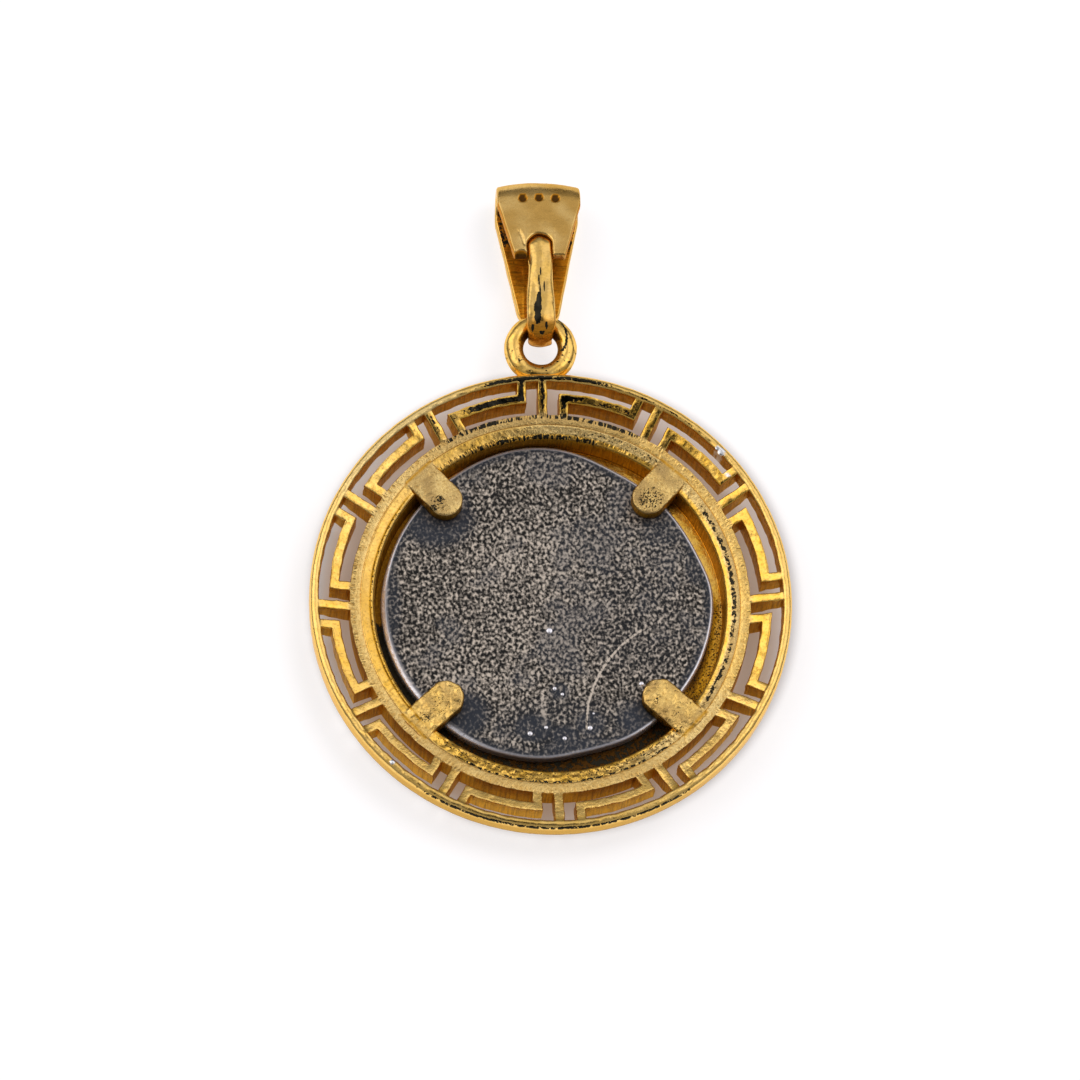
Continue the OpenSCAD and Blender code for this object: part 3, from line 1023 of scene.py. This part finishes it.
def gilt_material(name, pale, rich, amber, streak, grain_depth, streak_depth):
    """Gilt silver: wavy polished casting with grain, dark casting remains and painted dark reflections, and
    painted amber and brown shade in hollows and on walls.
    """
    material, tree, shader = new_material(name)
    look = {key: value_of(tree, key) for key in LOOKS}
    stain_and_painted_shade = look["stain_and_painted_shade"]
    matte = look["matte"]
    ticked = look["ticked"]
    broken = math_node(tree, "SUBTRACT", 1.0, look["even"])
    flat = place_mm(tree)
    lumps = noise_at(tree, flat, 1.6, 2.0)
    grain = noise_at(tree, flat, 6.0, 3.0, 0.6)
    streaks = noise_at(tree, place_mm(tree, streak), 9.0, 2.0, 0.6)
    spots = noise_at(tree, flat, 4.2, 2.0, 0.6, 0.6)
    fine_spots = noise_at(tree, flat, 9.5, 2.0, 0.6, 0.4)
    ticks = noise_at(tree, ring_place(tree, flat, 0.3), 6.5, 1.0, 0.5, 0.3)

    black = 0.0
    for pattern, kind in ((spots, "remains_and_painted_dark"), (ticks, "teeth"), (fine_spots, "specks")):
        remains = ramp(tree, plus(tree, pattern, look[kind]), 1.0, 1.07 if kind == "specks" else 1.06)
        black = math_node(tree, "MAXIMUM", black, remains)
    tint = plus(tree, ramp(tree, lumps, 0.35, 0.7, -0.15, 0.35), look["rich"])
    sunk = times(tree, ramp(tree, grain, 0.52, 0.3, 0.0, 0.6), broken)
    notched = times(tree, ramp(tree, ticks, 0.5, 0.36, 0.0, 0.8), ticked)
    # The dull layer is a duller tone and painted shade; the amber, brown and umber layers are painted shade
    # in walls and hollows, and brown stains; the black layer is casting remains and painted dark reflections.
    tone = overlay(tree, mix_colour(tree, tint, pale, rich), [
        (times(tree, matte, 0.75), SATIN),
        (math_node(tree, "MAXIMUM", sunk, notched), HOLLOW),
        (look["dull_and_painted_shade"], DULL_AND_PAINTED_SHADE),
        (look["ashen"], ASH),
        (ramp(tree, stain_and_painted_shade, 0.0, 0.5), amber),
        (ramp(tree, plus(tree, stain_and_painted_shade, streaks), 0.8, 1.35), BROWN),
        (ramp(tree, stain_and_painted_shade, 0.82, 1.0), UMBER),
        (black, SOOT_AND_PAINTED_DARK),
        (look["silver"], BARE),
    ])
    rough = ramp(tree, grain, 0.3, 0.7, 0.26, 0.12)
    rough = plus(tree, rough, times(tree, matte, 0.12))
    rough = plus(tree, rough, times(tree, stain_and_painted_shade, 0.3))

    fine_strength = times(tree, ramp(tree, matte, 0.0, 1.0, 0.25, 1.0), broken)
    normal = bump(tree, lumps, 0.36, 0.09)
    normal = bump(tree, grain, fine_strength, grain_depth, normal)
    normal = bump(tree, streaks, ramp(tree, stain_and_painted_shade, 0.0, 0.5, 0.1, 0.9), streak_depth, normal)
    normal = bump(tree, ticks, ramp(tree, ticked, 0.0, 1.0), 0.1, normal)
    normal = bump(tree, black, 0.6, 0.05, normal, invert=True)
    fill(tree, shader.inputs, {
        "Base Color": tone, "Metallic": ramp(tree, stain_and_painted_shade, 0.0, 0.5, 1.0, 0.82), "Specular Tint": EDGE_TINT,
        "Roughness": rough, "Normal": normal,
    })
    return material


# Curved scratch on the disc: middle and radius of its arc, line width, and the Y stretch it covers
SCRATCH = dict(x=8.95, y=-7.51, r=7.09, width=0.075, low=-7.3, high=-1.5)


def arc_line(tree, vector, x, y, r, width, low, high):
    """1 on a thin arc, 0 away from it."""
    north, plane = ring_plane(tree, vector)
    away = vector_node(tree, "DISTANCE", plane, (x, y, 0))
    off = math_node(tree, "ABSOLUTE", math_node(tree, "SUBTRACT", away, r))
    on = ramp(tree, off, width * 0.5, width * 1.2, 1.0, 0.0)
    for end in (ramp(tree, north, low - 0.3, low), ramp(tree, north, high, high + 0.5, 1.0, 0.0)):
        on = times(tree, on, end)
    return on


def silver_material():
    """Oxidised silver: dark coat broken up by fine worm-like beige wear, with a bright filed edge."""
    material, tree, shader = new_material("oxidised_silver")
    flat = place_mm(tree)
    edge = value_of(tree, "edge")
    speckle = noise_at(tree, place_mm(tree, (1.0, 0.85, 1.0)), 5.7, 1.0, 0.4, 0.3)
    patches = noise_at(tree, flat, 0.4, 3.0, 0.5)
    scratch = arc_line(tree, flat, **SCRATCH)
    level = speckle
    for pattern, share in ((patches, 0.2), (value_of(tree, "bright"), 0.3), (scratch, 0.23)):
        level = plus(tree, level, times(tree, pattern, share))
    worn = math_node(tree, "POWER", ramp(tree, level, 0.44, 0.79, curve="LINEAR"), 2.0)
    coat = times(tree, value_of(tree, "coat"), 0.75)
    coat = math_node(tree, "MAXIMUM", coat, ramp(tree, patches, 0.48, 0.66, 0.0, 0.4))
    coat = times(tree, coat, math_node(tree, "SUBTRACT", 1.0, scratch))
    fill(tree, shader.inputs, {
        "Base Color": overlay(tree, OXIDE, [(worn, WORN), (coat, WHOLE_COAT), (edge, FILED)]),
        "Metallic": 0.75,
        "Roughness": math_node(tree, "SUBTRACT", 0.5, times(tree, edge, 0.26)),
        "Normal": bump(tree, speckle, 0.4, 0.03),
    })
    return material


# Marks on the ring, by what they raise. Each row: from and to in degrees from +X, from and to in radius,
# softness in degrees, and strength. A softness over 180 covers the whole ring, strongest on its left.
MARKS = {
    # The rows from 44 to 126 degrees paint the dark reflection on the north bore edge, key band and rim; the
    # rows at -38 to 34 and 235 to 310 degrees are black pits.
    "remains_and_painted_dark": [
        (74, 112, 10.22, 10.36, 5, 0.56), (78, 112, 11.9, 13.42, 5, 0.72), (62, 78, 11.9, 13.42, 5, 0.52),
        (112, 126, 11.9, 13.42, 5, 0.54), (72, 106, 13.42, 13.8, 5, 0.72), (44, 72, 13.48, 13.68, 5, 0.52),
        (106, 120, 13.48, 13.6, 5, 0.52), (-38, 34, 10.52, 10.84, 5, 0.56), (235, 310, 10.84, 11.06, 5, 0.55),
    ],
    # Black striations round the north: painted dark reflection in the facets there.
    "teeth": [(70, 120, 10.2, 10.48, 5, 0.56), (60, 124, 11.36, 11.8, 5, 0.55)],
    "ticked": [(0, 360, 11.36, 11.75, 400, 1), (60, 130, 10.2, 10.5, 5, 1)],
    "specks": [
        (48, 84, 10.4, 11.0, 5, 0.44), (228, 318, 10.3, 10.85, 5, 0.45), (140, 215, 10.28, 10.55, 5, 0.44),
    ],
    "matte": [
        (0, 360, 11.02, 11.7, 400, 1), (-70, 100, 10.5, 11.05, 15, 1), (205, 335, 11.0, 11.7, 12, 1),
        (205, 335, 11.7, 13.3, 12, 0.5), (110, 152, 13.45, 13.85, 8, 1),
    ],
    "ashen": [(66, 122, 11.05, 11.8, 10, 0.3), (-45, 32, 10.62, 11.0, 12, 0.35)],
    # Stretches where the gilt is dulled; on the south, west and north bezel and the west strip this is
    # painted shade.
    "dull_and_painted_shade": [
        (210, 305, 11.0, 11.9, 18, 0.42), (150, 215, 11.05, 11.8, 15, 0.25), (50, 130, 11.0, 11.8, 18, 0.4),
        (-45, 32, 10.62, 11.05, 12, 0.5), (115, 195, 10.2, 11.05, 12, 0.45),
    ],
}
# Pitted places on the tabs as (x, y, radius, strength)
TAB_PITS = [
    (-6.17, 6.51, 0.3, 0.6), (-6.59, 5.96, 0.32, 0.6), (-6.3, 6.25, 0.8, 0.43), (6.1, 6.3, 1.15, 0.47),
    (5.75, 6.2, 0.6, 0.51), (-6.6, -6.1, 1.0, 0.4), (-7.6, -6.9, 0.6, 0.46), (7.81, -6.09, 0.5, 0.44),
    (5.9, -6.1, 0.3, 0.5), (7.0, -6.9, 0.5, 0.42),
]


def lift(look, name, values):
    """Raise one of a piece's values to at least these."""
    look[name] = np.maximum(look[name], values)


def blank_look(points):
    return {name: np.zeros(len(points)) for name in LOOKS}


def spot(x, y, at_x, at_y, half_x, half_y, full, out):
    """1 inside an oval spot, down to 0 outside it. full and out are shares of its half sizes."""
    return fade(np.hypot((x - at_x) / half_x, (y - at_y) / half_y), full, out)


def dress_frame(piece):
    """Satin bezel and tabs, painted amber and brown shade on the walls, bore and ledge, black remains and
    painted dark reflections, bright edges.
    """
    moved = vertex_points(piece)
    points = moved - cast_shift(moved)
    patchy = noise_field(points, 1.3, 41.0)[:, 0]
    look = blank_look(points)
    for kind, rows in MARKS.items():
        for *stretch, strength in rows:
            lift(look, kind, strength * ring_weight(points, *stretch))
    dress_ring(points, patchy, look)
    dress_tabs(points, patchy, look)
    dress_eyelet(points, patchy, look)
    for x, y, radius in GLINTS:
        lift(look, "silver", spot(moved[:, 0], moved[:, 1], x, y, radius, radius, 0.9, 1.1))
    look["remains_and_painted_dark"] *= 1 - look["silver"]
    set_values(piece, look)


def dress_ring(points, patchy, look):
    """Key band, bezel, bore and ledge."""
    r, angle = polar(points)
    z = points[:, 2]

    def stretch(from_deg, to_deg, soft_deg):
        return ring_weight(points, from_deg, to_deg, *INSIDE, soft_deg)

    off_edge = np.ones(len(r))
    turn = (angle - FIRST_SPOKE) % SECTOR
    for i in np.flatnonzero((r > BEZEL_R - 0.3) & (r < BAND_R + 0.3)):
        off_edge[i] = float(rise(hole_distance(r[i], turn[i]), 0.02, 0.14))
    look["remains_and_painted_dark"] *= off_edge

    south = stretch(205, 325, 12)
    west = stretch(125, 188, 8)
    north = stretch(85, 118, 8)
    corner = stretch(-55, -5, 12)
    east = stretch(-45, 45, 12)
    inner = fade(r, 10.2, 10.3)
    above_lip = rise(z, 0.42, 0.5)
    bore = inner * fade(z, 1.9, 2.05) * above_lip
    lip = inner * (1 - above_lip)
    # Painted shadow: the south bore and the ledge in the disc's shadow are blackened.
    lift(look, "remains_and_painted_dark", south * (bore * 0.5 + lip * 0.52))
    # Painted dark reflection: a black line along the south rim's rounding.
    rim_dark_reflection = rise(z, 2.7, 2.78) * fade(z, 2.92, 2.97)
    lift(look, "remains_and_painted_dark", 0.62 * ring_weight(points, 232, 306, 13.8, 14.2, 8) * rim_dark_reflection)

    top = np.where(r > BAND_R, BACK_Z, back_at(np.clip(r, BEZEL_R, BAND_R))) - RIM_FALL
    in_band = rise(r, BEZEL_R - 0.05, BEZEL_R - 0.01) * fade(r, BAND_R + 0.01, BAND_R + 0.05)
    walls = in_band * rise(top - z, EDGE_ROUND, EDGE_ROUND + 0.06)
    look["remains_and_painted_dark"] *= 1 - walls
    for kind in ("teeth", "ticked"):
        look[kind] *= (1 - walls) * rise(z, 1.7, 1.9)
    # Painted shadow in the south-west gap between the disc and the bore.
    gap = stretch(180, 234, 8) * np.maximum(lip, bore * fade(z, 1.0, 1.6))
    lift(look, "remains_and_painted_dark", gap * 0.68)
    lift(look, "specks", stretch(-50, 12, 12) * lip * 0.44)

    on_rim = rise(r, 13.4, 13.5)
    lift(look, "matte", 0.35 * on_rim)
    lift(look, "even", 0.8 * on_rim)
    # The gilt is paler round the north-west: a painted highlight on that side.
    look["rich"] = ring_weight(points, 170, 480, 8, 14, 25, 1.0) * 0.5

    seam = np.exp(-((r - STEP_R - 0.02) / 0.04) ** 2) * ring_weight(points, -75, 62, 10, 12, 15)
    brown_line = np.exp(-((r - 10.47) / 0.05) ** 2) * ring_weight(points, 142, 232, 10, 11, 12)
    beside_disc = fade(r - disc_radius(angle), 0.16, 0.3)
    shade = stretch(-62, 2, 10) * lip
    # Painted amber and brown shade on the window walls, the bore and ledge (darker on some sides and near the
    # bottom), the band's rounded edges, the gap and beside the disc; the step seam and the brown line on the
    # strip are coloured lines.
    for values in (
        walls * 0.5,
        bore * (0.5 + 0.2 * west + 0.3 * south + 0.22 * east + 0.3 * north),
        lip * (0.06 + 0.7 * west + 0.95 * south + 0.3 * corner),
        0.22 * in_band * rise(top - z, 0.0, 0.07),
        gap,
        0.95 * bore * fade(z, 0.55, 0.85),
        0.3 * seam,
        brown_line * rise(z, 1.8, 1.9) * np.clip(0.8 + 0.6 * patchy, 0.3, 1.0),
        0.95 * shade * beside_disc,
    ):
        lift(look, "stain_and_painted_shade", values)

    look["dull_and_painted_shade"] *= 1 + 0.8 * patchy
    # Painted shade: the lower outer side of the south rim, and the ledge beside the disc, are dulled.
    lift(look, "dull_and_painted_shade", 0.85 * ring_weight(points, 218, 318, 13.88, 14.3, 20) * fade(z, 2.6, 2.76))
    lift(look, "dull_and_painted_shade", 0.55 * shade)


def tab_places(points):
    """For each tab: places along it, 1 on the tab and 0 away from it, and how crumpled it is."""
    for angle, end_r, relief in TABS:
        along, across = turned(points[:, 0], points[:, 1], -math.radians(angle))
        on = (along > end_r - TAB_W) & (along < TAB_ROOT_R + 0.05) & (np.abs(across) < TAB_W / 2 + 0.03)
        yield along, on & (points[:, 2] > back_at(STEP_R) - TAB_H), relief


def dress_tabs(points, patchy, look):
    """Dull faces, painted dark reflection and shade along the sides, brown roots and pits."""
    x, y, z = points.T
    depth = TAB_TOP - z
    for along, on, relief in tab_places(points):
        side = on * rise(depth, 0.1, 0.16)
        face = on - side
        # Painted dark reflection: a dark band along each side, and painted shade at the side's foot.
        lines = on * np.exp(-((depth - 0.24) / 0.08) ** 2) + on * rise(depth, 0.62, 0.8)
        root = on * np.exp(-((along - STEP_R + 0.02) / 0.1) ** 2)
        look["matte"] = np.where(on, 0.95 - 0.35 * relief, look["matte"]) * (1 - side)
        lift(look, "even", side)
        lift(look, "stain_and_painted_shade", np.maximum(side * 0.12 + lines * 0.9, root * 0.4))
        lift(look, "dull_and_painted_shade", face * np.clip(0.48 - 0.25 * relief + patchy, 0.0, 0.8))
        lift(look, "ashen", face * np.clip(0.38 - 0.2 * relief + 0.3 * patchy, 0.0, 0.5))
    high = rise(z, 2.0, 2.1)
    for at_x, at_y, radius, strength in TAB_PITS:
        lift(look, "specks", high * strength * spot(x, y, at_x, at_y, radius, radius, 0.5, 1.1))


def dress_eyelet(points, patchy, look):
    """Polished wire, painted brown shade inside and under the hook, with a dark groove at the right and dark
    remains at its foot.
    """
    x, y, _ = points.T
    eye = np.hypot(x, y - EYE_Y)
    eye_deg = np.degrees(np.arctan2(y - EYE_Y, x))
    on_eye = rise(y, RIM_R - 0.1, RIM_R + 0.15)
    groove = fade(np.abs(eye - (1.42 + 0.0107 * eye_deg)), 0.05, 0.13)
    under_hook = fade(eye, EYE_R - 0.35, EYE_R - 0.15) * rise(y, EYE_Y + 0.1, EYE_Y + 0.5)
    look["matte"] *= 1 - on_eye
    # The brown on the inner wall and under the hook is painted shade.
    for kind, values in (
        ("stain_and_painted_shade", 0.85 * fade(eye, EYE_R - 0.5, EYE_R - 0.3)),
        ("stain_and_painted_shade", under_hook),
        ("even", 0.7),
        ("remains_and_painted_dark", 0.8 * groove * ((eye_deg > -15) & (eye_deg < 58))),
        ("remains_and_painted_dark", 0.4 * fade(y, EYE_Y - 0.3, EYE_Y + 0.4)),
        ("dull_and_painted_shade", np.clip(0.2 + patchy, 0.0, 0.7)),
    ):
        lift(look, kind, on_eye * values)


# Places on the disc where the dark coat is whole, and where it is rubbed:
# (x, y, half width, half height, amount)
COATED = [
    (-6.4, 5.6, 2.8, 2.2, 0.9), (-5.6, -6.4, 2.4, 2.0, 0.9), (5.6, -6.9, 2.6, 1.7, 1.0),
    (1.8, -8.6, 3.6, 0.9, 0.8), (6.8, 5.0, 1.8, 1.8, 0.6), (8.6, 2.6, 0.9, 1.8, 0.6),
    (-9.3, 0.5, 0.9, 3.5, 0.6), (5.0, -1.0, 4.0, 4.5, 0.2), (0.5, -7.0, 5.0, 2.0, 0.3),
    (-1.2, -7.3, 1.6, 1.2, 0.8), (0.6, -7.8, 1.2, 0.9, 0.8), (2.1, -7.1, 1.2, 1.1, 0.8),
    (0.4, -5.1, 0.8, 0.7, 0.7),
]
RUBBED = [
    (9.2, -2.1, 0.7, 1.4, 0.5), (7.1, -5.1, 0.6, 0.6, 0.4), (-1.0, 3.0, 5.0, 4.0, 0.16),
    (-3.0, -1.5, 4.0, 2.5, 0.1), (-4.0, -4.5, 4.0, 2.0, 0.15), (-7.0, 2.0, 2.5, 3.5, 0.1),
    (-0.6, -6.3, 0.3, 1.6, 0.6), (6.4, -0.9, 1.2, 0.5, 0.2), (3.0, 0.2, 1.6, 0.4, 0.2),
]


def dress_disc(piece):
    """Bright filed edge and grains, whole coat near the edge and the tabs, rubbed places between."""
    points = vertex_points(piece)
    x, y, z = points.T
    r, angle = polar(points)
    outline = disc_radius(angle)
    bevel = ring_weight(points, *BEVEL)
    edge = fade(outline - r, 0.08 + 0.1 * bevel, 0.22 + 0.14 * bevel)
    edge *= 1 - 0.5 * ring_weight(points, 246, 300, *INSIDE, 12)
    top = DISC_Z + DISC_H
    edge = np.maximum(edge, rise(z, top + 0.012, top + 0.03))
    coat = rise(r, outline - 0.8, outline - 0.15) * 0.8
    for *place, amount in COATED:
        coat = np.maximum(coat, amount * spot(x, y, *place, 0.5, 1.0))
    bright = sum(amount * spot(x, y, *place, 0.2, 1.0) for *place, amount in RUBBED)
    set_values(piece, {"edge": edge, "coat": coat, "bright": bright - 0.25 * coat})


def dress_bail(piece):
    """Satin back leaf with brown dots, painted amber shade inside, and a polished hook with painted dark
    reflections.
    """
    back = np.array(bail_place().inverted())
    local = vertex_points(piece) @ back[:3, :3].T + back[:3, 3]
    x, y, z = local.T
    wide = np.abs(x)
    patchy = noise_field(local, 0.9, 43.0)[:, 0]
    on_top = rise(z, 0.75, 0.95)
    leaf = on_top * np.maximum(rise(wide, NOTCH_R - 0.04, NOTCH_R), rise(y, 4.9, 4.98))
    hook = on_top * (1 - leaf)
    front_half = leaf_half(y, 0.0, TIP_HALF)
    back_half = leaf_half(y, EDGE_Y, EDGE_HALF)
    inside = fade(z, -0.8, -0.6) * rise(z, -1.15, -1.0) * rise(y, -0.7, -0.2)
    inside *= fade(wide, front_half - 0.14, front_half - 0.04)
    slot = np.hypot(x, np.maximum(y - DOME_Y, 0))
    in_slot = on_top * fade(z, 1.3, 1.48) * (y > 3.3) * (slot > 0.45) * (slot < NOTCH_R + 0.06)
    corner = fade(np.hypot(x - CORNER[0], (y - CORNER[1]) * CORNER_FLAT), 0.3, CORNER[2])

    look = blank_look(local)
    # Painted amber shade inside the fold, along the back leaf's sides, round the hook's bend, in the notch's
    # walls and in the worn corner's hollow.
    for values in (
        0.5 * inside,
        0.5 * leaf * rise(wide, back_half - 0.05, back_half) * (y < FULL_Y),
        0.4 * fade(y, -1.1, 0.0),
        0.85 * fade(y, 0.0, 0.4) * fade(z, -0.5, 0.1),
        0.9 * in_slot,
        on_top * corner,
    ):
        lift(look, "stain_and_painted_shade", values)
    for dot_x, dot_y in DOTS:
        lift(look, "stain_and_painted_shade", on_top * spot(x, y, dot_x, dot_y, DOT_R, DOT_R, 0.75, 1.1))
    # Painted shade: black deep inside the fold, under the back leaf.
    look["remains_and_painted_dark"] = inside * (0.55 + 0.06 * (x > 0)) * rise(y, 4.2, 5.6)
    # Painted dark reflections on the hook.
    for row in HOOK_DARK_REFLECTIONS:
        lift(look, "remains_and_painted_dark", 0.8 * hook * spot(x, y, *row, 0.5, 1.1))
    outer = fade(np.abs(z + 0.9), 0.1, 0.25)
    look["dull_and_painted_shade"] = leaf * np.clip(0.78 + 0.7 * patchy, 0.3, 1.0)
    lift(look, "dull_and_painted_shade", 0.35 * outer * (1 - inside))
    lift(look, "dull_and_painted_shade", 0.4 * hook)
    look["matte"] = 0.7 * leaf
    look["even"] = 0.6 - 0.2 * leaf
    look["rich"] = 0.3 * (1 - leaf)
    set_values(piece, look)


# Stage

FLOOR_REACH = 3.0
FLOOR_TONE = (0.5, 0.48, 0.5, 1)
# Glow of the floor: middle of the painted shadow under the ring, and colours inside and outside it; the
# golden colour inside is painted bounce light from the gilt.
SHADE_AT = (0.35, RING_Y + 0.85, 0)
GLOW_INSIDE = (1.08, 0.8, 0.62, 1)
GLOW_OUTSIDE = (0.98, 0.985, 1, 1)


def make_camera():
    data = bpy.data.cameras.new("camera")
    data.lens = CAMERA_LENS
    data.sensor_width = SENSOR
    data.clip_start = 0.05
    data.clip_end = 20
    camera = add_object("camera", data)
    camera.location = [v * MM for v in CAMERA_AT]
    camera.rotation_euler = [math.radians(v) for v in CAMERA_TURN]
    bpy.context.scene.camera = camera


def make_floor():
    """White floor with a faint glow, dimmed under the ring as a painted shadow and golden there as painted
    bounce light.
    """
    mesh = bpy.data.meshes.new("floor")
    corners = [(x * FLOOR_REACH, y * FLOOR_REACH, 0) for x, y in ((-1, -1), (1, -1), (1, 1), (-1, 1))]
    mesh.from_pydata(corners, [], [(0, 1, 2, 3)])
    floor = add_object("floor", mesh)
    material, tree, shader = new_material("floor_white")
    away = vector_node(tree, "DISTANCE", place_mm(tree), SHADE_AT)
    outside = ramp(tree, away, RIM_R - 1.0, RIM_R)
    fill(tree, shader.inputs, {
        "Base Color": FLOOR_TONE, "Roughness": 0.9, "Specular IOR Level": 0.1,
        "Emission Color": mix_colour(tree, outside, GLOW_INSIDE, GLOW_OUTSIDE),
        "Emission Strength": ramp(tree, away, RIM_R - 0.4, RIM_R + 0.7, 0.2, 0.69),
    })
    mesh.materials.append(material)


# Light dome. Each lobe: azimuth in degrees from +X, elevation, full and fading half angles, strength, colour
LOBES = [
    (25, 45, 12, 34, 0.8, (1.0, 0.98, 0.95)),
    (155, 48, 12, 34, 1.2, (1.0, 0.97, 0.9)),
    (90, 62, 8, 26, 0.4, (1.0, 1.0, 1.0)),
    (-8, 61, 6, 22, 0.5, (1.0, 1.0, 1.0)),
]
DOME_BASE = 0.36
HORIZON = 0.12
# The dark place that the camera stands in, in the same order, and the share of light left in it
DARK_LOBE = (-101.5, 69.9, 11, 20)
DARK_LEFT = 0.03
# Key light: azimuth, elevation, distance, size and power
KEY_TURN = (36, 62)
KEY_AWAY = 0.9
KEY_SIZE = 0.35
KEY_POWER = 1.1


def direction(azimuth, elevation):
    a = math.radians(azimuth)
    e = math.radians(elevation)
    return (math.cos(e) * math.cos(a), math.cos(e) * math.sin(a), math.sin(e))


def make_light_dome():
    world = bpy.data.worlds.new("studio")
    bpy.context.scene.world = world
    world.use_nodes = True
    tree = world.node_tree
    tree.nodes.clear()
    unit = vector_node(tree, "NORMALIZE", node(tree, "ShaderNodeTexCoord").outputs["Generated"])

    def lobe(azimuth, elevation, full, out):
        near = vector_node(tree, "DOT_PRODUCT", unit, direction(azimuth, elevation))
        return ramp(tree, near, math.cos(math.radians(out)), math.cos(math.radians(full)))

    height = node(tree, "ShaderNodeSeparateXYZ", {0: unit}).outputs["Z"]
    base = ramp(tree, height, 0.0, 0.55, HORIZON, DOME_BASE)
    light = node(tree, "ShaderNodeCombineXYZ", {0: base, 1: base, 2: base}).outputs[0]
    for *place, strength, colour in LOBES:
        part = vector_node(tree, "SCALE", tuple(c * strength for c in colour), lobe(*place))
        light = vector_node(tree, "ADD", light, part)
    light = vector_node(tree, "SCALE", light, ramp(tree, lobe(*DARK_LOBE), 0, 1, 1.0, DARK_LEFT))
    shader = node(tree, "ShaderNodeBackground", {"Color": light, "Strength": 1.0})
    node(tree, "ShaderNodeOutputWorld", {"Surface": shader.outputs[0]})


def make_key_light():
    data = bpy.data.lights.new("key", "AREA")
    data.shape = "DISK"
    data.size = KEY_SIZE
    data.energy = KEY_POWER
    data.color = (1.0, 0.99, 0.97)
    light = add_object("key", data)
    light.location = Vector(direction(*KEY_TURN)) * KEY_AWAY
    light.rotation_euler = (-light.location).to_track_quat("-Z", "Y").to_euler()
    light.visible_glossy = False


make_camera()
make_floor()
make_light_dome()
make_key_light()
bpy.context.scene.view_settings.view_transform = "Standard"
bpy.context.scene.view_settings.look = "None"

casting = make_frame()
dress_frame(casting)
paint(casting, gilt_material("gilt_frame", **FRAME_GILT))
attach(casting, "root")
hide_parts("frame")

disc = make_disc()
dress_disc(disc)
paint(disc, silver_material())
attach(disc, "root")
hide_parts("disc")

bail = make_bail()
dress_bail(bail)
paint(bail, gilt_material("gilt_bail", **BAIL_GILT))
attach(bail, "root")
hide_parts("bail")
